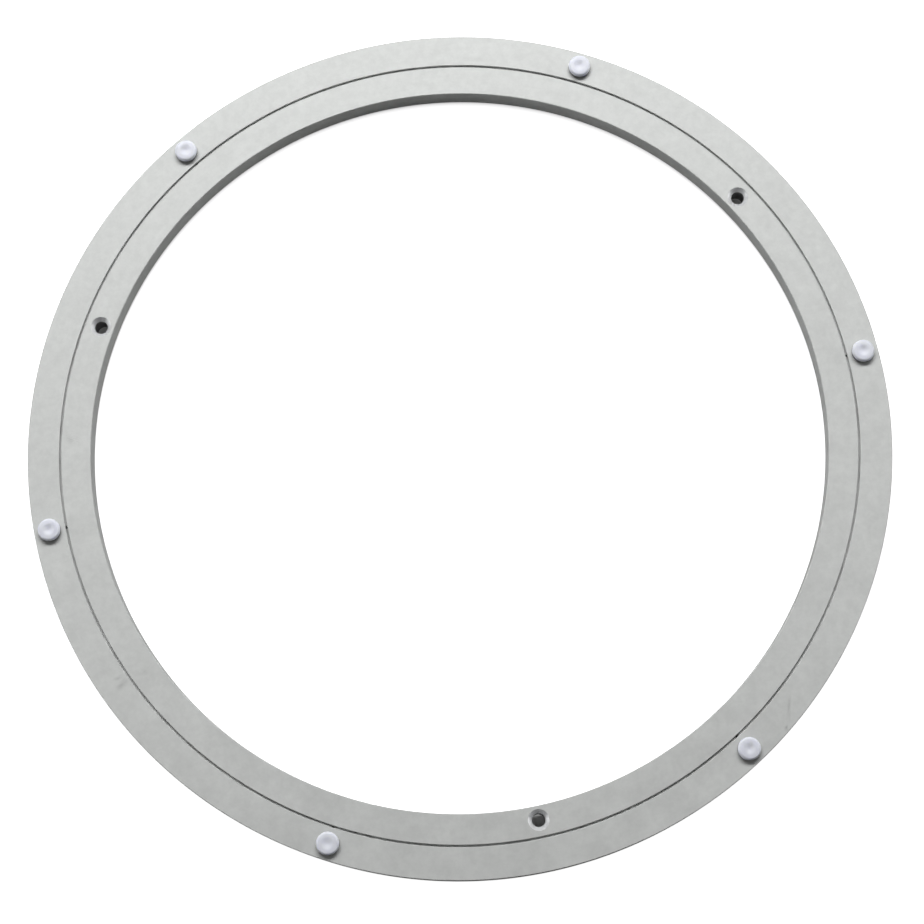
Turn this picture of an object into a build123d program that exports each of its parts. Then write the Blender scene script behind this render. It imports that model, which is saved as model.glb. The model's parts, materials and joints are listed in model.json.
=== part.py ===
from build123d import *

import os
from math import degrees, pi, sin

# Flat turntable ball bearing: two flush concentric aluminium rings, each rolled from one
# extruded strip and closed at a butt seam by a dowel, with caged balls in the race between
# them. Clear plug pads stand on the turning outer ring, and the same mouldings are the feet
# under the fixed inner ring.
# Frame: millimetres, +Z is the turning axis and up, the origin is on that axis in the plane
# of the feet's soles, and pad 1 lies on +X.

# ---- driving dimensions ----
OUTER_DIAMETER = 400.0
BORE_DIAMETER = 341.3
RACE_DIAMETER = 369.6          # circle of the ball centres, in the middle of the ring gap
RING_HEIGHT = 11.0
RING_GAP = 0.9                 # radial gap between the lips of the two rings

BALL_DIAMETER = 6.0
BALL_COUNT = 36
BALL_CLEARANCE = 0.3           # between a ball and its groove
CHANNEL_HALF_WIDTH = 1.0       # from the race circle to each ring's wall, inside the lips
LIP_HEIGHT = 0.9
LIP_CHAMFER = 0.2
OUTSIDE_CHAMFER = 0.3
BORE_CHAMFER = 0.3

CAGE_SEGMENTS = 6
CAGE_THICKNESS = 1.2
CAGE_HEIGHT = 8.6
CAGE_END_GAP = 0.4             # degrees between one segment and the next
POCKET_DIAMETER = 6.5

PAD_COUNT = 6
PAD_CIRCLE_DIAMETER = 385.2
PAD_DIAMETER = 10.4
PAD_HEIGHT = 3.2
PAD_EDGE_RADIUS = 1.3
DIMPLE_DIAMETER = 5.2
DIMPLE_DEPTH = 0.5
PLUG_HOLE_DIAMETER = 5.0
PLUG_DIAMETER = 4.9
PAD_PLUG_LENGTH = 10.4
FOOT_CIRCLE_DIAMETER = 354.8
FOOT_PLUG_LENGTH = 6.0
FOOT_HOLE_DEPTH = 6.5
FOOT_ANGLE = 59.2              # degrees from +X to foot 1

SCREW_COUNT = 3
SCREW_CIRCLE_DIAMETER = 354.0
SCREW_HOLE_DIAMETER = 6.0
COUNTERSINK_DIAMETER = 9.6
SCREW_ANGLE = 29.2             # degrees from +X to the first screw hole

SEAM_ANGLE = 201.3             # degrees from +X to the butt seam of both rings
SEAM_WIDTH = 0.1
PIN_DIAMETER = 4.0
PIN_LENGTH = 24.0
PIN_HOLE_CLEARANCE = 0.04      # on the diameter
PIN_HOLE_SPARE = 1.0           # on the length
OUTER_PIN_RADIUS = 194.0
INNER_PIN_RADIUS = 176.2

# ---- sizes that follow ----
RACE_RADIUS = RACE_DIAMETER / 2
BALL_RADIUS = BALL_DIAMETER / 2
GROOVE_RADIUS = BALL_RADIUS + BALL_CLEARANCE
RING_BOTTOM = PAD_HEIGHT
RING_TOP = RING_BOTTOM + RING_HEIGHT
RACE_LEVEL = RING_BOTTOM + RING_HEIGHT / 2
GROOVE_HALF_MOUTH = (GROOVE_RADIUS**2 - CHANNEL_HALF_WIDTH**2) ** 0.5


def on_circle(radius, angle, height):
    """A place on a circle about the axis, whose own X axis points away from the axis."""
    return Rot(0, 0, angle) * Pos(radius, 0, height)


def ring_section(side, far_radius, far_chamfer):
    """Half of the bearing's section. side is 1 for the outer ring and -1 for the inner one."""
    lip = RACE_RADIUS + side * RING_GAP / 2
    wall = RACE_RADIUS + side * CHANNEL_HALF_WIDTH
    groove_bottom = RACE_RADIUS + side * GROOVE_RADIUS
    far_inset = far_radius - side * far_chamfer
    lip_inset = lip + side * LIP_CHAMFER
    corners_below = [
        (wall, RACE_LEVEL - GROOVE_HALF_MOUTH),
        (wall, RING_BOTTOM + LIP_HEIGHT),
        (lip, RING_BOTTOM + LIP_HEIGHT),
        (lip, RING_BOTTOM + LIP_CHAMFER),
        (lip_inset, RING_BOTTOM),
        (far_inset, RING_BOTTOM),
        (far_radius, RING_BOTTOM + far_chamfer),
    ]
    corners_above = [(r, 2 * RACE_LEVEL - z) for r, z in reversed(corners_below)]
    outline = [(r, 0, z) for r, z in corners_below + corners_above]
    groove = ThreePointArc(outline[-1], (groove_bottom, 0, RACE_LEVEL), outline[0])
    return make_face([Polyline(*outline), groove])


def rolled_ring(section, seam_radius):
    """The section swept once round the axis, up to the butt seam's hairline."""
    seam = degrees(SEAM_WIDTH / seam_radius)
    ring = revolve(section, Axis.Z, 360 - seam)
    return Rot(0, 0, SEAM_ANGLE + seam / 2) * ring


def seam_pin(radius, diameter, length):
    """A straight dowel across the butt seam."""
    return on_circle(radius, SEAM_ANGLE, RACE_LEVEL) * Rot(90, 0, 0) * Cylinder(diameter / 2, length)


def pin_hole(radius):
    return seam_pin(radius, PIN_DIAMETER + PIN_HOLE_CLEARANCE, PIN_LENGTH + PIN_HOLE_SPARE)


def screw_hole():
    """Through hole with a 90 degree countersink, from the ring's top face down."""
    shank = Pos(0, 0, RACE_LEVEL) * Cylinder(SCREW_HOLE_DIAMETER / 2, 2 * RING_HEIGHT)
    depth = (COUNTERSINK_DIAMETER - SCREW_HOLE_DIAMETER) / 2
    sink = Cone(SCREW_HOLE_DIAMETER / 2, COUNTERSINK_DIAMETER / 2, depth)
    return shank + Pos(0, 0, RING_TOP - depth / 2) * sink


def plug_pad(plug_length):
    """A pad with its sole at the origin facing down and its plug pointing up."""
    radius = PAD_DIAMETER / 2
    dimple = DIMPLE_DIAMETER / 2
    rim = Polyline((0, 0, DIMPLE_DEPTH), (dimple - DIMPLE_DEPTH, 0, DIMPLE_DEPTH), (dimple, 0, 0))
    flat = radius - PAD_EDGE_RADIUS
    bulge = PAD_EDGE_RADIUS * sin(pi / 4)
    sole = Line((dimple, 0, 0), (flat, 0, 0))
    middle = (flat + bulge, 0, PAD_EDGE_RADIUS - bulge)
    edge = ThreePointArc((flat, 0, 0), middle, (radius, 0, PAD_EDGE_RADIUS))
    rest = Polyline(
        (radius, 0, PAD_EDGE_RADIUS),
        (radius, 0, PAD_HEIGHT),
        (PLUG_DIAMETER / 2, 0, PAD_HEIGHT),
        (PLUG_DIAMETER / 2, 0, PAD_HEIGHT + plug_length),
        (0, 0, PAD_HEIGHT + plug_length),
        (0, 0, DIMPLE_DEPTH),
    )
    return revolve(make_face([rim, sole, edge, rest]), Axis.Z, 360)


def pad(index):
    """A pad on the outer ring, upside down so that its plug points into the ring."""
    place = on_circle(PAD_CIRCLE_DIAMETER / 2, index * 360 / PAD_COUNT, RING_TOP + PAD_HEIGHT)
    return place * Rot(180, 0, 0) * plug_pad(PAD_PLUG_LENGTH)


def foot_place(index, height):
    return on_circle(FOOT_CIRCLE_DIAMETER / 2, FOOT_ANGLE + index * 360 / PAD_COUNT, height)


def outer_ring():
    ring = rolled_ring(ring_section(1, OUTER_DIAMETER / 2, OUTSIDE_CHAMFER), OUTER_PIN_RADIUS)
    for index in range(PAD_COUNT):
        place = on_circle(PAD_CIRCLE_DIAMETER / 2, index * 360 / PAD_COUNT, RACE_LEVEL)
        ring -= place * Cylinder(PLUG_HOLE_DIAMETER / 2, 2 * RING_HEIGHT)
    return ring - pin_hole(OUTER_PIN_RADIUS)


def inner_ring():
    ring = rolled_ring(ring_section(-1, BORE_DIAMETER / 2, BORE_CHAMFER), INNER_PIN_RADIUS)
    for index in range(SCREW_COUNT):
        angle = SCREW_ANGLE + index * 360 / SCREW_COUNT
        ring -= on_circle(SCREW_CIRCLE_DIAMETER / 2, angle, 0) * screw_hole()
    for index in range(PAD_COUNT):
        hole = Cylinder(PLUG_HOLE_DIAMETER / 2, 2 * FOOT_HOLE_DEPTH)
        ring -= foot_place(index, RING_BOTTOM) * hole
    return ring - pin_hole(INNER_PIN_RADIUS)


def ball_angle(index):
    return (index + 0.5) * 360 / BALL_COUNT


def cage_segment(index):
    """A thin curved strip on the race circle, with a round pocket for each of its balls."""
    span = 360 / CAGE_SEGMENTS
    strip = Pos(RACE_RADIUS, 0, RACE_LEVEL) * Rot(90, 0, 0) * Rectangle(CAGE_THICKNESS, CAGE_HEIGHT)
    segment = revolve(strip, Axis.Z, span - CAGE_END_GAP)
    segment = Rot(0, 0, index * span + CAGE_END_GAP / 2) * segment
    balls_each = BALL_COUNT // CAGE_SEGMENTS
    for place in range(index * balls_each, (index + 1) * balls_each):
        pocket = Rot(0, 90, 0) * Cylinder(POCKET_DIAMETER / 2, 4 * CAGE_THICKNESS)
        segment -= on_circle(RACE_RADIUS, ball_angle(place), RACE_LEVEL) * pocket
    return segment


def ball(index):
    return on_circle(RACE_RADIUS, ball_angle(index), RACE_LEVEL) * Sphere(BALL_RADIUS)


def save(shape, node):
    export_step(shape, f"parts/{node}.step")


os.makedirs("parts", exist_ok=True)
save(outer_ring(), "outer_ring")
save(inner_ring(), "inner_ring")
save(seam_pin(OUTER_PIN_RADIUS, PIN_DIAMETER, PIN_LENGTH), "outer_ring_joint_pin")
save(seam_pin(INNER_PIN_RADIUS, PIN_DIAMETER, PIN_LENGTH), "inner_ring_joint_pin")
for number in range(PAD_COUNT):
    save(pad(number), f"pad_{number + 1}")
    save(foot_place(number, 0) * plug_pad(FOOT_PLUG_LENGTH), f"foot_{number + 1}")
for number in range(CAGE_SEGMENTS):
    save(cage_segment(number), f"cage_segment_{number + 1}")
for number in range(BALL_COUNT):
    save(ball(number), f"ball_{number + 1:02d}")
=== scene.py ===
import json
from math import atan2, cos, pi, radians, sin, tan

import bmesh
import bpy
from mathutils import Matrix, Vector


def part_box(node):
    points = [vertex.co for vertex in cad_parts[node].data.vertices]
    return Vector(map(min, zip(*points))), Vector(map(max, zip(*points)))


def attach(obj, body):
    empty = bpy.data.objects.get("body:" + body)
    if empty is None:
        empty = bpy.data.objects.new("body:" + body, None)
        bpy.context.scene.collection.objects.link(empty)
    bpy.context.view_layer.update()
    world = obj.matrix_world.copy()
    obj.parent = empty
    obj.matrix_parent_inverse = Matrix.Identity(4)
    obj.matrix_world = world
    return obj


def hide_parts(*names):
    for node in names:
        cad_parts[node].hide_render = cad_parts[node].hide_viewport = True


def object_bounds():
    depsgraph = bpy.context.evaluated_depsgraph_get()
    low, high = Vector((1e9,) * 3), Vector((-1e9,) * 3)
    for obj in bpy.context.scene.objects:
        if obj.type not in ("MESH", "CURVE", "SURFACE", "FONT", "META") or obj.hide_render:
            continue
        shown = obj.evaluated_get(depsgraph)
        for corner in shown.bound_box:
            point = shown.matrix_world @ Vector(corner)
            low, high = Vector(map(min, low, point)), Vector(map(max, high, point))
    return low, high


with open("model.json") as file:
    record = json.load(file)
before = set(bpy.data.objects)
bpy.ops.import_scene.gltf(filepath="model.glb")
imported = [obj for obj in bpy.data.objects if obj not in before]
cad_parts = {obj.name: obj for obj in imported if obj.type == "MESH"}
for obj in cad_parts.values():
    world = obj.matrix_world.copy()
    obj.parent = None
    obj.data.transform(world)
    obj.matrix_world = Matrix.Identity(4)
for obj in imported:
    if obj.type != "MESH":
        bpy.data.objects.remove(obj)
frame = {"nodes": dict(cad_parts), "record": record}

# Looks of the turntable ball bearing. Metres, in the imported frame: +Z is the turning axis, the feet
# stand on z = 0 and pad 1 is on +X.
cad_low, cad_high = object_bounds()
MM = 0.001


# ---- sizes read from the frame ----
def reach(node):
    """Smallest and largest distance of a CAD node's surface from the turning axis."""
    distances = [Vector((v.co.x, v.co.y)).length for v in frame["nodes"][node].data.vertices]
    return min(distances), max(distances)


def middle(node):
    low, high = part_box(node)
    return (low + high) / 2


def around(node):
    """The angle at which a CAD node stands round the turning axis."""
    centre = middle(node)
    return atan2(centre.y, centre.x)


def out_from_axis(node):
    """How far the middle of a CAD node is from the turning axis."""
    centre = middle(node)
    return Vector((centre.x, centre.y)).length


mounts = {mount["name"]: mount for mount in frame["record"]["mounts"]}
pads = [f"pad_{number}" for number in range(1, 7)]
feet = [f"foot_{number}" for number in range(1, 7)]
RING_BOTTOM, RING_TOP = (corner.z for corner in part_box("outer_ring"))
OUTER_LIP, _ = reach("outer_ring")
OUTER_RADIUS = min(-cad_low.x, -cad_low.y, cad_high.x, cad_high.y)
BORE_RADIUS, INNER_LIP = reach("inner_ring")
RACE_RADIUS = (OUTER_LIP + INNER_LIP) / 2
RACE_LEVEL = middle("ball_01").z
BALL_RADIUS = (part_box("ball_01")[1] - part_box("ball_01")[0]).z / 2
PAD_RADIUS = (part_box("pad_1")[1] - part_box("pad_1")[0]).y / 2
PAD_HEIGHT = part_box("pad_1")[1].z - RING_TOP
PAD_PLUG_LENGTH = RING_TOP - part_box("pad_1")[0].z
FOOT_PLUG_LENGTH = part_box("foot_1")[1].z - RING_BOTTOM
SCREW_CIRCLE = mounts["base_screws"]["dims"]["pcd_mm"] * MM / 2
SCREW_HOLE_RADIUS = mounts["base_screws"]["dims"]["hole_r_mm"] * MM
SEAM_ANGLE = around("outer_ring_joint_pin")

# ---- details of the rings ----
RING_SEGMENTS = 720
GROOVE_STEPS = 24
CHANNEL_HALF_WIDTH = 1.0 * MM
GROOVE_RADIUS = BALL_RADIUS + 0.3 * MM
LIP_HEIGHT = 0.9 * MM
LIP_CHAMFER = 0.2 * MM
OUTSIDE_CHAMFER = 0.3 * MM
BORE_CHAMFER = 0.3 * MM
CORNER_RADIUS = 0.06 * MM       # the small arc at every corner of the section
CORNER_STEPS = 4
SCREW_ANGLES = [radians(29.2 + 120 * turn) for turn in range(3)]
COUNTERSINK_RADIUS = 4.8 * MM
COUNTERSINK_DEPTH = COUNTERSINK_RADIUS - SCREW_HOLE_RADIUS
SCREW_HOLE_SEGMENTS = 96
PLUG_HOLE_RADIUS = 2.5 * MM
FOOT_HOLE_DEPTH = 6.5 * MM
DRILL_SEGMENTS = 64
DRILL_OVERRUN = 1 * MM
SEAM_WIDTH = 0.015 * MM
PIN_HOLE_RADIUS = 2.02 * MM
PIN_HOLE_LENGTH = 25 * MM

# ---- details of the pads and feet ----
MOULDING_SEGMENTS = 96
DISH_STEPS = 16
DISH_RADIUS = 3.05 * MM
DISH_DEPTH = 0.5 * MM
CROWN = 0.10 * MM               # fall of the sole from the dish's rim to the rounded edge
SOLE_EDGE_STEPS = 12
SOLE_EDGE_RADIUS = 1.25 * MM
PLUG_RADIUS = 2.45 * MM
RIB_PITCH = 1.6 * MM
RIB_DEPTH = 0.25 * MM
PAD_TURN = 0.7                  # radians from one pad's own turn to the next one's
FOOT_TURN = 0.9


# ---- mesh helpers ----
def soften(corners, radius):
    """The outline of (radius, height) corners with each corner turned into a small arc."""
    points = []
    for index, corner in enumerate(corners):
        here = Vector(corner)
        before = (Vector(corners[index - 1]) - here).normalized()
        after = (Vector(corners[(index + 1) % len(corners)]) - here).normalized()
        half = before.angle(after) / 2
        inward = (before + after).normalized()
        centre = here + inward * radius / sin(half)
        start = here + before * radius / tan(half) - centre
        sweep = start.angle_signed(here + after * radius / tan(half) - centre)
        for step in range(CORNER_STEPS + 1):
            turned = Matrix.Rotation(-sweep * step / CORNER_STEPS, 2) @ start
            points.append(tuple(centre + turned))
    return points


def new_piece(name, mesh):
    data = bpy.data.meshes.new(name)
    mesh.to_mesh(data)
    mesh.free()
    piece = bpy.data.objects.new(name, data)
    bpy.context.scene.collection.objects.link(piece)
    return piece


def lathe(name, outline, segments, closed=True):
    """An outline of (radius, height) points turned once round Z. A closed outline also joins its
    last point to its first, and an open one starts and ends on the axis."""
    mesh = bmesh.new()
    columns = []
    for segment in range(segments):
        turn = 2 * pi * segment / segments
        columns.append([mesh.verts.new((r * cos(turn), r * sin(turn), z)) for r, z in outline])
    last = len(outline) if closed else len(outline) - 1
    for segment in range(segments):
        here, there = columns[segment], columns[(segment + 1) % segments]
        for index in range(last):
            after = (index + 1) % len(outline)
            mesh.faces.new((here[index], there[index], there[after], here[after]))
    bmesh.ops.remove_doubles(mesh, verts=mesh.verts, dist=1e-8)
    bmesh.ops.recalc_face_normals(mesh, faces=mesh.faces)
    return new_piece(name, mesh)


def cut(piece, cutters):
    """Takes the cutters' shapes out of a piece and deletes them. The material slots that come with
    the cutters are cleared, so materials are added after this."""
    for cutter in cutters:
        modifier = piece.modifiers.new(cutter.name, "BOOLEAN")
        modifier.operation = "DIFFERENCE"
        modifier.solver = "MANIFOLD"
        modifier.object = cutter
    bpy.context.view_layer.update()
    graph = bpy.context.evaluated_depsgraph_get()
    data = bpy.data.meshes.new_from_object(piece.evaluated_get(graph), depsgraph=graph)
    piece.modifiers.clear()
    piece.data = data
    for cutter in cutters:
        bpy.data.objects.remove(cutter)
    mesh = bmesh.new()
    mesh.from_mesh(data)
    bmesh.ops.dissolve_degenerate(mesh, dist=1e-6, edges=mesh.edges)
    mesh.to_mesh(data)
    mesh.free()
    data.materials.clear()


def smooth(piece):
    """Smooth shading in which the flat faces stay flat: each corner's normal is the area-weighted
    mean of the faces at its vertex that turn less than the sharp angle from its own face."""
    sharp_angle = radians(35)
    data = piece.data
    data.shade_smooth()
    limit = cos(sharp_angle)
    around_vertex = [[] for _ in data.vertices]
    for face in data.polygons:
        weighted = face.normal * face.area
        for vertex in face.vertices:
            around_vertex[vertex].append((face.normal.copy(), weighted))
    normals = []
    for face in data.polygons:
        own = face.normal
        for vertex in face.vertices:
            total = own * 1e-16
            for normal, weighted in around_vertex[vertex]:
                if normal.dot(own) > limit:
                    total += weighted
            normals.append(total.normalized())
    data.normals_split_custom_set(normals)


def put(piece, angle, radius, height=0.0):
    """Moves a piece out to a place round the axis, with its own X pointing outwards."""
    piece.data.transform(Matrix.Rotation(angle, 4, "Z") @ Matrix.Translation((radius, 0, height)))
    return piece


def finish_piece(piece, body, nodes):
    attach(piece, body)
    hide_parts(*nodes)


# ---- shader helpers ----
def add(tree, kind, inputs=None, **settings):
    node = tree.nodes.new("ShaderNode" + kind)
    for name, value in settings.items():
        setattr(node, name, value)
    for socket, value in (inputs or {}).items():
        if isinstance(value, bpy.types.NodeSocket):
            tree.links.new(value, node.inputs[socket])
        else:
            node.inputs[socket].default_value = value
    return node


def calc(tree, operation, *values):
    return add(tree, "Math", dict(enumerate(values)), operation=operation).outputs[0]


def spread(tree, value, low, high, new_low, new_high):
    """value mapped from low..high to new_low..new_high, and kept between them."""
    inputs = {0: value, 1: low, 2: high, 3: new_low, 4: new_high}
    return add(tree, "MapRange", inputs, interpolation_type="SMOOTHSTEP").outputs[0]


def noise(tree, place, scale, detail=2.0, roughness=0.5):
    inputs = {"Vector": place, "Scale": scale, "Detail": detail, "Roughness": roughness}
    return add(tree, "TexNoise", inputs).outputs["Fac"]


def object_place(tree):
    return add(tree, "TexCoord").outputs["Object"]


def stretched(tree, place, scales):
    return add(tree, "VectorMath", {0: place, 1: scales}, operation="MULTIPLY").outputs[0]


def vector_length(tree, vector):
    return add(tree, "VectorMath", {0: vector}, operation="LENGTH").outputs["Value"]


def scaled(tree, colour, factor):
    return add(tree, "VectorMath", {0: colour, "Scale": factor}, operation="SCALE").outputs[0]


def tint(tree, colour, light, amount):
    """colour made lighter or darker by light, a value about 0.5, by up to amount each way."""
    return scaled(tree, colour, spread(tree, light, 0.25, 0.75, 1 - amount, 1 + amount))


def new_material(name):
    material = bpy.data.materials.new(name)
    material.use_nodes = True
    return material, material.node_tree, material.node_tree.nodes["Principled BSDF"]


def bump(tree, surface, height, distance):
    node = add(tree, "Bump", {"Height": height, "Distance": distance, "Strength": 1.0})
    tree.links.new(node.outputs[0], surface.inputs["Normal"])


def polar(tree, place):
    """Distance from the turning axis, the angle round it and the height. The angle jumps at the
    butt seam, where a real ring's drawing lines also stop."""
    turned = add(tree, "VectorRotate", {"Vector": place, "Angle": pi - SEAM_ANGLE}, rotation_type="Z_AXIS")
    split = add(tree, "SeparateXYZ", {0: turned.outputs[0]})
    flat = add(tree, "CombineXYZ", {0: split.outputs[0], 1: split.outputs[1]})
    radius = vector_length(tree, flat.outputs[0])
    angle = calc(tree, "ARCTAN2", split.outputs[1], split.outputs[0])
    return radius, angle, split.outputs[2]


def scuff(tree, place, angle, radius, slant, size, strength):
    """A patch of short fine scratches on the top face: 0 outside it, and up to strength in it."""
    centre = (radius * cos(angle), radius * sin(angle), RING_TOP)
    mapping = add(tree, "Mapping", {0: place, 1: centre, 2: (0, 0, slant), 3: size}, vector_type="TEXTURE")
    patch = spread(tree, vector_length(tree, mapping.outputs[0]), 0.1, 1.0, 1.0, 0.0)
    streaks_at = stretched(tree, mapping.outputs[0], (0.7, 9, 1))
    streaks = noise(tree, streaks_at, scale=1.0, detail=4.0, roughness=0.65)
    streaks = spread(tree, streaks, 0.42, 0.72, 0.0, 1.0)
    return calc(tree, "MULTIPLY", calc(tree, "MULTIPLY", patch, streaks), strength)


ANODISED = (0.70, 0.712, 0.70)
BARE_METAL = (0.84, 0.85, 0.86)
MILKY_BLUE = (0.84, 0.86, 0.96)
BALL_STEEL = (0.60, 0.61, 0.63)
DOWEL_STEEL = (0.52, 0.52, 0.54)
# painted shade: a mid grey, darker than natural nylon, so that the cage darkens the gap between the rings
GAP_SHADE_NYLON = (0.50, 0.505, 0.50)
LINES_PER_METRE = 2600.0
LINES_PER_RADIAN = 9.0
TOOL_RINGS_PER_METRE = 3200.0
PAINTED_HOLE_SHADE = 0.4


def anodised_aluminium(name, scuffs):
    """Satin anodised extrusion: fine lines round the ring, a faint grain, handling marks."""
    material, tree, surface = new_material(name)
    place = object_place(tree)
    radius, angle, height = polar(tree, place)
    across = calc(tree, "MULTIPLY", radius, LINES_PER_METRE)
    up = calc(tree, "MULTIPLY", height, LINES_PER_METRE)
    along = calc(tree, "MULTIPLY", angle, LINES_PER_RADIAN)
    lines_at = add(tree, "CombineXYZ", {0: across, 1: along, 2: up}).outputs[0]
    lines = noise(tree, lines_at, scale=1.0, detail=3.0, roughness=0.6)
    grain = noise(tree, place, scale=5200.0)
    clouds = noise(tree, place, scale=60.0, detail=5.0, roughness=0.6)
    worn = 0.0
    for mark in scuffs:
        worn = calc(tree, "ADD", scuff(tree, place, *mark), worn)
    mottle = noise(tree, place, scale=320.0, detail=3.0, roughness=0.6)
    colour = tint(tree, ANODISED, clouds, 0.05)
    colour = tint(tree, colour, mottle, 0.035)
    colour = tint(tree, colour, lines, 0.012)
    darker = calc(tree, "SUBTRACT", 1.0, worn)
    tree.links.new(scaled(tree, colour, darker), surface.inputs["Base Color"])
    rough = spread(tree, lines, 0.3, 0.7, 0.68, 0.76)
    rough = calc(tree, "ADD", rough, spread(tree, clouds, 0.3, 0.7, -0.03, 0.03))
    rough = calc(tree, "ADD", rough, calc(tree, "MULTIPLY", worn, 0.5))
    tree.links.new(rough, surface.inputs["Roughness"])
    surface.inputs["Metallic"].default_value = 0.55
    relief = calc(tree, "ADD", calc(tree, "MULTIPLY", lines, 0.6), calc(tree, "MULTIPLY", grain, 0.4))
    bump(tree, surface, relief, 0.004 * MM)
    return material


def machined_aluminium():
    """Bare metal in the screw holes, with tool rings: a bright countersink and a drilled wall whose colour
    is darkened as painted shade for the deep hole.
    """
    material, tree, surface = new_material("machined_aluminium")
    place = object_place(tree)
    height = add(tree, "SeparateXYZ", {0: place}).outputs[2]
    depth = calc(tree, "MULTIPLY", height, TOOL_RINGS_PER_METRE)
    rings_at = add(tree, "CombineXYZ", {2: depth}).outputs[0]
    rings = noise(tree, rings_at, scale=1.0, detail=3.0, roughness=0.7)
    sink_foot = RING_TOP - COUNTERSINK_DEPTH
    blend = 0.2 * MM
    # painted shade: the drilled wall below the countersink is made darker, standing in for the shade deep
    # in the hole
    shade = spread(tree, height, sink_foot - blend, sink_foot + blend, PAINTED_HOLE_SHADE, 1.0)
    colour = tint(tree, BARE_METAL, rings, 0.06)
    tree.links.new(scaled(tree, colour, shade), surface.inputs["Base Color"])
    tree.links.new(spread(tree, rings, 0.3, 0.7, 0.42, 0.52), surface.inputs["Roughness"])
    surface.inputs["Metallic"].default_value = 0.45
    bump(tree, surface, rings, 0.03 * MM)
    return material


def clear_pvc(name, seat):
    """Soft clear PVC: slightly milky and blue, with flow clouds and a fine moulded grain. Its colour
    goes dark towards the metal at the height of its seat: painted shade for its shaded side and its contact
    shadow there."""
    material, tree, surface = new_material(name)
    place = object_place(tree)
    clouds = noise(tree, place, scale=260.0, detail=3.0)
    grain = noise(tree, place, scale=4200.0)
    height = add(tree, "SeparateXYZ", {0: place}).outputs[2]
    clear_of_seat = calc(tree, "ABSOLUTE", calc(tree, "SUBTRACT", height, seat))
    # painted shade: the colour darkens near the seat, standing in for the shaded side and the contact
    # shadow
    painted_seat_shade = spread(tree, clear_of_seat, 0.6 * MM, 2.0 * MM, 0.03, 1.0)
    colour = tint(tree, MILKY_BLUE, clouds, 0.015)
    tree.links.new(scaled(tree, colour, painted_seat_shade), surface.inputs["Base Color"])
    tree.links.new(spread(tree, clouds, 0.3, 0.7, 0.38, 0.48), surface.inputs["Roughness"])
    surface.inputs["IOR"].default_value = 1.5
    surface.inputs["Subsurface Weight"].default_value = 0.5
    surface.inputs["Subsurface Radius"].default_value = (1.0, 1.0, 1.1)
    surface.inputs["Subsurface Scale"].default_value = 0.8 * MM
    bump(tree, surface, grain, 0.0015 * MM)
    return material


def bearing_steel():
    """Polished balls with hairline running marks."""
    material, tree, surface = new_material("bearing_steel")
    place = object_place(tree)
    hairs_at = stretched(tree, place, (900, 900, 7000))
    hairs = noise(tree, hairs_at, scale=1.0, detail=3.0, roughness=0.7)
    film = noise(tree, place, scale=380.0, detail=3.0)
    tree.links.new(tint(tree, BALL_STEEL, film, 0.05), surface.inputs["Base Color"])
    tree.links.new(spread(tree, hairs, 0.35, 0.7, 0.07, 0.2), surface.inputs["Roughness"])
    surface.inputs["Metallic"].default_value = 1.0
    bump(tree, surface, hairs, 0.001 * MM)
    return material


def ground_steel():
    """Dowels ground lengthways, with a thin oil film."""
    material, tree, surface = new_material("ground_steel")
    place = object_place(tree)
    lines_at = stretched(tree, place, (600, 600, 8000))
    lines = noise(tree, lines_at, scale=1.0, detail=3.0, roughness=0.7)
    tree.links.new(tint(tree, DOWEL_STEEL, lines, 0.08), surface.inputs["Base Color"])
    tree.links.new(spread(tree, lines, 0.3, 0.7, 0.22, 0.4), surface.inputs["Roughness"])
    surface.inputs["Metallic"].default_value = 1.0
    bump(tree, surface, lines, 0.004 * MM)
    return material


def nylon():
    """Nylon strip: waxy, with mould grain and grease smears, in a mid grey darker than natural nylon, as
    painted shade for the gap between the rings.
    """
    material, tree, surface = new_material("nylon_gap_shaded")
    place = object_place(tree)
    grain = noise(tree, place, scale=3800.0, detail=3.0)
    smears = noise(tree, place, scale=120.0, detail=4.0, roughness=0.6)
    tree.links.new(tint(tree, GAP_SHADE_NYLON, smears, 0.15), surface.inputs["Base Color"])
    tree.links.new(spread(tree, smears, 0.3, 0.7, 0.35, 0.6), surface.inputs["Roughness"])
    bump(tree, surface, grain, 0.01 * MM)
    return material


# ---- the rings ----
def ring_outline(side, lip, far_radius, far_chamfer):
    """Half of the bearing's section: side is 1 for the outer ring and -1 for the inner ring."""
    wall = RACE_RADIUS + side * CHANNEL_HALF_WIDTH
    mouth = (GROOVE_RADIUS**2 - CHANNEL_HALF_WIDTH**2) ** 0.5
    corners = [
        (wall, RING_BOTTOM + LIP_HEIGHT),
        (lip, RING_BOTTOM + LIP_HEIGHT),
        (lip, RING_BOTTOM + LIP_CHAMFER),
        (lip + side * LIP_CHAMFER, RING_BOTTOM),
        (far_radius - side * far_chamfer, RING_BOTTOM),
        (far_radius, RING_BOTTOM + far_chamfer),
        (far_radius, RING_TOP - far_chamfer),
        (far_radius - side * far_chamfer, RING_TOP),
        (lip + side * LIP_CHAMFER, RING_TOP),
        (lip, RING_TOP - LIP_CHAMFER),
        (lip, RING_TOP - LIP_HEIGHT),
        (wall, RING_TOP - LIP_HEIGHT),
    ]
    outline = soften(corners, CORNER_RADIUS)
    open_angle = atan2(mouth, CHANNEL_HALF_WIDTH)
    for step in range(GROOVE_STEPS + 1):
        turn = open_angle * (1 - 2 * step / GROOVE_STEPS)
        r = RACE_RADIUS + side * GROOVE_RADIUS * cos(turn)
        outline.append((r, RACE_LEVEL + GROOVE_RADIUS * sin(turn)))
    return outline


def rod(name, radius, low, high):
    """A round cutter along Z."""
    outline = [(0, low), (radius, low), (radius, high), (0, high)]
    return lathe(name, outline, DRILL_SEGMENTS, closed=False)


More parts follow.
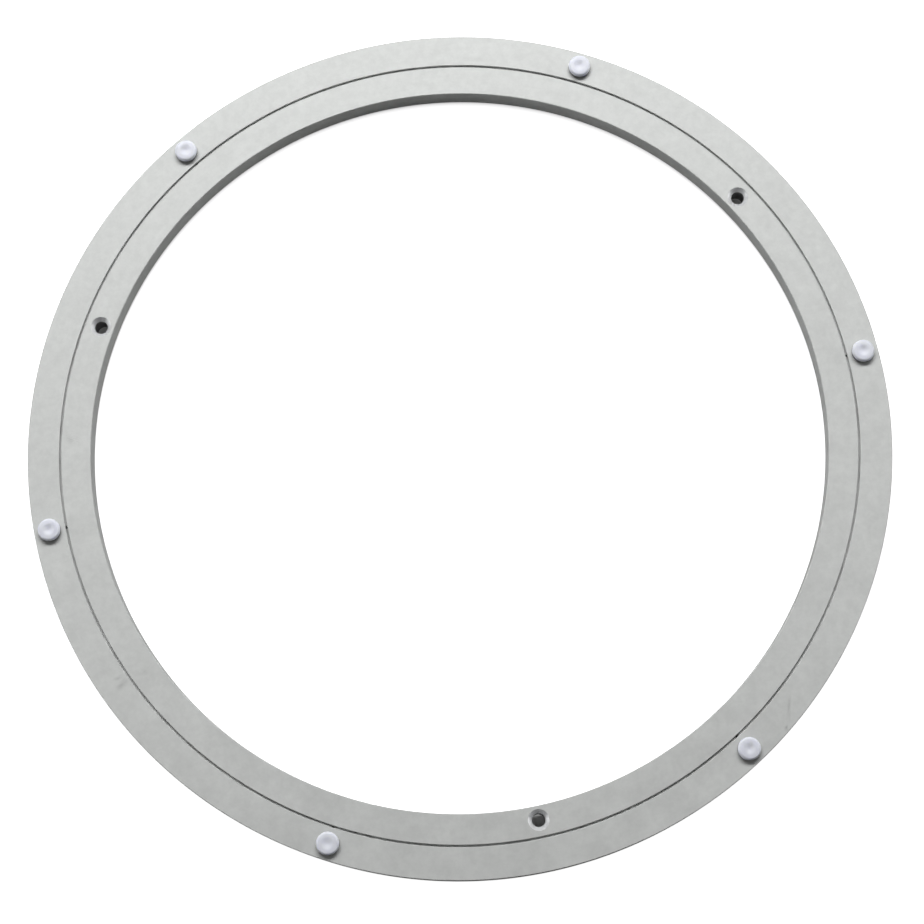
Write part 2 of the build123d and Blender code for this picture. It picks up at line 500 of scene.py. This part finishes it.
def seam_cutter(radius):
    """A thin slab through the ring at the butt seam, longer and higher than the ring's section."""
    slab_length = 40 * MM
    slab_height = 60 * MM
    slab = bmesh.new()
    bmesh.ops.create_cube(slab, size=1)
    piece = new_piece("seam", slab)
    piece.data.transform(Matrix.Diagonal((slab_length, SEAM_WIDTH, slab_height, 1)))
    return put(piece, SEAM_ANGLE, radius, RACE_LEVEL)


def pin_hole_cutter(node):
    """The cross hole for the dowel that closes the seam."""
    piece = rod("pin_hole", PIN_HOLE_RADIUS, -PIN_HOLE_LENGTH / 2, PIN_HOLE_LENGTH / 2)
    piece.data.transform(Matrix.Rotation(pi / 2, 4, "X"))
    return put(piece, SEAM_ANGLE, out_from_axis(node), RACE_LEVEL)


def screw_cutter(angle):
    """A countersunk screw hole, straight on past both faces of the ring."""
    over = 2 * MM
    outline = [
        (0, RING_BOTTOM - over),
        (SCREW_HOLE_RADIUS, RING_BOTTOM - over),
        (SCREW_HOLE_RADIUS, RING_TOP - COUNTERSINK_DEPTH),
        (COUNTERSINK_RADIUS, RING_TOP),
        (COUNTERSINK_RADIUS, RING_TOP + over),
        (0, RING_TOP + over),
    ]
    return put(lathe("screw_hole", outline, SCREW_HOLE_SEGMENTS, closed=False), angle, SCREW_CIRCLE)


def plug_cutter(node, low, high):
    """The hole for the plug of a pad or foot."""
    return put(rod("plug_hole", PLUG_HOLE_RADIUS, low, high), around(node), out_from_axis(node))


def mark_drilled(piece, centres):
    """Gives the faces inside the screw holes the second material."""
    limit = COUNTERSINK_RADIUS + 0.05 * MM
    margin = 0.001 * MM
    for face in piece.data.polygons:
        flat = Vector((face.center.x, face.center.y))
        inside = RING_BOTTOM + margin < face.center.z < RING_TOP - margin
        if inside and any((flat - centre).length < limit for centre in centres):
            face.material_index = 1


def mark(angle, radius, slant, length, width, strength):
    """A scuff's place and size in degrees and millimetres, turned into what scuff takes."""
    depth = 4 * MM              # less than the ring's height, so it doesn't show underneath
    return radians(angle), radius * MM, radians(slant), (length * MM, width * MM, depth), strength


OUTER_SCUFFS = [
    mark(angle=204.0, radius=189.0, slant=213, length=5.0, width=2.2, strength=0.55),
    mark(angle=203.0, radius=188.7, slant=193, length=3.8, width=1.5, strength=0.45),
    mark(angle=307.4, radius=194.0, slant=72, length=10.0, width=1.3, strength=0.40),
    mark(angle=305.4, radius=198.2, slant=72, length=2.4, width=1.2, strength=0.70),
]
INNER_SCUFFS = [
    mark(angle=204.4, radius=177.3, slant=220, length=4.5, width=3.0, strength=0.26),
    mark(angle=167.2, radius=179.4, slant=150, length=6.0, width=3.0, strength=0.20),
]


def build_outer_ring():
    outline = ring_outline(1, OUTER_LIP, OUTER_RADIUS, OUTSIDE_CHAMFER)
    ring = lathe("turning_ring", outline, RING_SEGMENTS)
    low = RING_BOTTOM - DRILL_OVERRUN
    cutters = [plug_cutter(pad, low, RING_TOP + DRILL_OVERRUN) for pad in pads]
    cutters += [seam_cutter(OUTER_RADIUS), pin_hole_cutter("outer_ring_joint_pin")]
    cut(ring, cutters)
    ring.data.materials.append(anodised_aluminium("anodised_outer_ring", OUTER_SCUFFS))
    smooth(ring)
    finish_piece(ring, "outer_ring_body", ["outer_ring"])


def build_inner_ring():
    outline = ring_outline(-1, INNER_LIP, BORE_RADIUS, BORE_CHAMFER)
    ring = lathe("fixed_ring", outline, RING_SEGMENTS)
    low = RING_BOTTOM - DRILL_OVERRUN
    cutters = [plug_cutter(foot, low, RING_BOTTOM + FOOT_HOLE_DEPTH) for foot in feet]
    cutters += [screw_cutter(angle) for angle in SCREW_ANGLES]
    cutters += [seam_cutter(BORE_RADIUS), pin_hole_cutter("inner_ring_joint_pin")]
    cut(ring, cutters)
    ring.data.materials.append(anodised_aluminium("anodised_inner_ring", INNER_SCUFFS))
    ring.data.materials.append(machined_aluminium())
    centres = [Vector((SCREW_CIRCLE * cos(angle), SCREW_CIRCLE * sin(angle))) for angle in SCREW_ANGLES]
    mark_drilled(ring, centres)
    smooth(ring)
    finish_piece(ring, "inner_ring_body", ["inner_ring"])


# ---- pads and feet ----
def plug_pad(name, plug_length, material):
    """The clear moulding, sole up at z = PAD_HEIGHT and plug down: a soft-edged button with a
    shallow dish and a ribbed plug."""
    outline = []
    for step in range(DISH_STEPS + 1):
        share = step / DISH_STEPS
        depth = DISH_DEPTH * (0.5 + 0.5 * cos(pi * share))
        outline.append((share * DISH_RADIUS, PAD_HEIGHT - depth))
    arc_radius = PAD_RADIUS - SOLE_EDGE_RADIUS
    arc_level = PAD_HEIGHT - CROWN - SOLE_EDGE_RADIUS
    for step in range(SOLE_EDGE_STEPS + 1):
        turn = pi / 2 * step / SOLE_EDGE_STEPS
        r = arc_radius + SOLE_EDGE_RADIUS * sin(turn)
        outline.append((r, arc_level + SOLE_EDGE_RADIUS * cos(turn)))
    # the side, with its foot rounded off, and the flat face round the plug
    outline += [
        (PAD_RADIUS, 0.5 * MM),
        (PAD_RADIUS - 0.04 * MM, 0.15 * MM),
        (PAD_RADIUS - 0.2 * MM, 0),
        (PLUG_RADIUS + 0.15 * MM, 0),
    ]
    ribs = int(plug_length / RIB_PITCH)
    for rib in range(ribs):
        level = -plug_length * (rib + 0.3) / ribs
        outline.append((PLUG_RADIUS - RIB_DEPTH, level))
        outline.append((PLUG_RADIUS, level - 0.2 * MM))
        outline.append((PLUG_RADIUS, level - 0.5 * MM))
    outline += [(PLUG_RADIUS - 0.4 * MM, -plug_length), (0, -plug_length)]
    piece = lathe(name, outline, MOULDING_SEGMENTS, closed=False)
    piece.data.materials.append(material)
    piece.data.shade_smooth()
    piece.data.set_sharp_from_angle(angle=radians(50))
    return piece


def build_pads():
    material = clear_pvc("clear_pvc_pads", RING_TOP)
    for number, node in enumerate(pads):
        piece = plug_pad(node + "_moulding", PAD_PLUG_LENGTH, material)
        piece.data.transform(Matrix.Rotation(PAD_TURN * number, 4, "Z"))
        put(piece, around(node), out_from_axis(node), RING_TOP)
        finish_piece(piece, "outer_ring_body", [node])


def build_feet():
    material = clear_pvc("clear_pvc_feet", RING_BOTTOM)
    for number, node in enumerate(feet):
        piece = plug_pad(node + "_moulding", FOOT_PLUG_LENGTH, material)
        piece.data.transform(Matrix.Rotation(pi, 4, "X") @ Matrix.Rotation(FOOT_TURN * number, 4, "Z"))
        put(piece, around(node), out_from_axis(node), RING_BOTTOM)
        finish_piece(piece, "inner_ring_body", [node])


# ---- CAD nodes that stay, with their own finish ----
def coat(names, material):
    for name in names:
        node = frame["nodes"][name]
        node.data.materials.clear()
        node.data.materials.append(material)


def finish_race():
    coat([name for name in frame["nodes"] if name.startswith("ball_")], bearing_steel())
    coat([name for name in frame["nodes"] if name.startswith("cage_segment_")], nylon())
    coat(["outer_ring_joint_pin", "inner_ring_joint_pin"], ground_steel())


# ---- stage ----
LIGHT_SIDE = Vector((0.105, 0.994, 0)).normalized()     # level direction that the key light comes from
ACROSS = LIGHT_SIDE.cross(Vector((0, 0, 1)))
SHEET_HALF_WIDTH = 12
FLOOR_GREY = (0.35, 0.35, 0.35, 1)
TABLE_GREY = (0.80, 0.80, 0.80, 1)
PAINTED_GAP_LIGHT = 0.07                 # strength of the painted light on the table behind the gap, where 1 is white
STUDIO_FRONT = 0.045            # strength of the world's light in front of the bearing
STUDIO_BEHIND = 0.13


def flat_sheet(name, level):
    """A level square sheet whose material has no shader yet."""
    mesh = bmesh.new()
    bmesh.ops.create_grid(mesh, x_segments=1, y_segments=1, size=SHEET_HALF_WIDTH)
    sheet = new_piece(name, mesh)
    sheet.location.z = level
    material, tree, surface = new_material(name)
    tree.nodes.remove(surface)
    sheet.data.materials.append(material)
    return sheet


def build_floor():
    """A floor that the camera doesn't see and that lights the object from below, and a white light
    table over it that only the camera sees. The table glows everywhere but under the bearing, where
    the glow fades out as a painted shadow, with only a faint painted light behind the gap between the
    rings."""
    floor = flat_sheet("floor", -0.2 * MM)
    tree = floor.data.materials[0].node_tree
    diffuse = add(tree, "BsdfDiffuse", {"Color": FLOOR_GREY})
    tree.links.new(diffuse.outputs[0], tree.nodes["Material Output"].inputs[0])
    floor.visible_camera = False
    table = flat_sheet("light_table", 0)
    tree = table.data.materials[0].node_tree
    radius = vector_length(tree, object_place(tree))
    clear = 1 * MM              # the glow fades from this far outside the metal
    under = 4 * MM              # to this far under it
    # painted shadow: the table's glow fades out under the metal of the bearing
    inside = spread(tree, radius, BORE_RADIUS - clear, BORE_RADIUS + under, 1.0, 0.0)
    outside = spread(tree, radius, OUTER_RADIUS - under, OUTER_RADIUS + clear, 0.0, 1.0)
    from_race = calc(tree, "ABSOLUTE", calc(tree, "SUBTRACT", radius, RACE_RADIUS))
    # painted light: a faint glow on the table behind the gap between the rings
    gap_light_mask = spread(tree, from_race, 3 * MM, 5 * MM, PAINTED_GAP_LIGHT, 0.0)
    glow = calc(tree, "ADD", calc(tree, "ADD", inside, outside), gap_light_mask)
    lit = add(tree, "Emission", {"Strength": glow})
    diffuse = add(tree, "BsdfDiffuse", {"Color": TABLE_GREY})
    both = add(tree, "AddShader", {0: lit.outputs[0], 1: diffuse.outputs[0]})
    tree.links.new(both.outputs[0], tree.nodes["Material Output"].inputs[0])
    table.visible_diffuse = False
    table.visible_glossy = False
    table.visible_transmission = False
    table.visible_shadow = False


def build_world():
    """A soft studio, brighter behind than in front."""
    world = bpy.data.worlds.new("studio")
    bpy.context.scene.world = world
    world.use_nodes = True
    tree = world.node_tree
    tree.nodes.clear()
    direction = add(tree, "TexCoord").outputs["Generated"]
    along = add(tree, "VectorMath", {0: direction, 1: LIGHT_SIDE}, operation="DOT_PRODUCT").outputs["Value"]
    level = spread(tree, along, -0.3, 0.8, STUDIO_FRONT, STUDIO_BEHIND)
    background = add(tree, "Background", {"Color": (1.0, 1.0, 1.0, 1), "Strength": level})
    output = add(tree, "OutputWorld")
    tree.links.new(background.outputs[0], output.inputs[0])


def build_light(name, side, elevation, distance, width, depth, power):
    """A wide soft lamp that looks at the origin from above the level direction called side."""
    data = bpy.data.lights.new(name, "AREA")
    data.shape = "ELLIPSE"
    data.size = width
    data.size_y = depth
    data.energy = power
    lamp = bpy.data.objects.new(name, data)
    bpy.context.scene.collection.objects.link(lamp)
    direction = side * cos(radians(elevation)) + Vector((0, 0, sin(radians(elevation))))
    lamp.location = direction * distance
    lamp.rotation_mode = "QUATERNION"
    lamp.rotation_quaternion = direction.to_track_quat("Z", "Y")


def build_camera():
    """Looks down from the front at a steep angle, a little off the axis, with a small roll."""
    azimuth = radians(-7.306)
    elevation = radians(77.549)
    roll = radians(-5.287)
    aim = Vector((-0.56 * MM, -10.25 * MM, RING_TOP))
    distance = 993.3 * MM
    back = Vector((sin(azimuth) * cos(elevation), -cos(azimuth) * cos(elevation), sin(elevation)))
    data = bpy.data.cameras.new("camera")
    data.sensor_width = 36
    data.lens = 83.85
    camera = bpy.data.objects.new("camera", data)
    bpy.context.scene.collection.objects.link(camera)
    level_right = Vector((cos(azimuth), sin(azimuth), 0))
    right = Matrix.Rotation(roll, 3, back) @ level_right
    up = back.cross(right)
    turn = Matrix((right, up, back)).transposed()
    camera.matrix_world = Matrix.Translation(aim + back * distance) @ turn.to_4x4()
    bpy.context.scene.camera = camera


build_outer_ring()
build_inner_ring()
build_pads()
build_feet()
finish_race()
build_floor()
build_world()
build_light("key", LIGHT_SIDE, elevation=50, distance=2.0, width=2.7, depth=0.65, power=40)
build_light("left_fill", -ACROSS, elevation=8.5, distance=2.4, width=1.6, depth=0.6, power=12)
build_light("right_fill", ACROSS, elevation=8.5, distance=2.4, width=1.6, depth=0.6, power=12)
build_camera()
bpy.context.scene.view_settings.view_transform = "Standard"
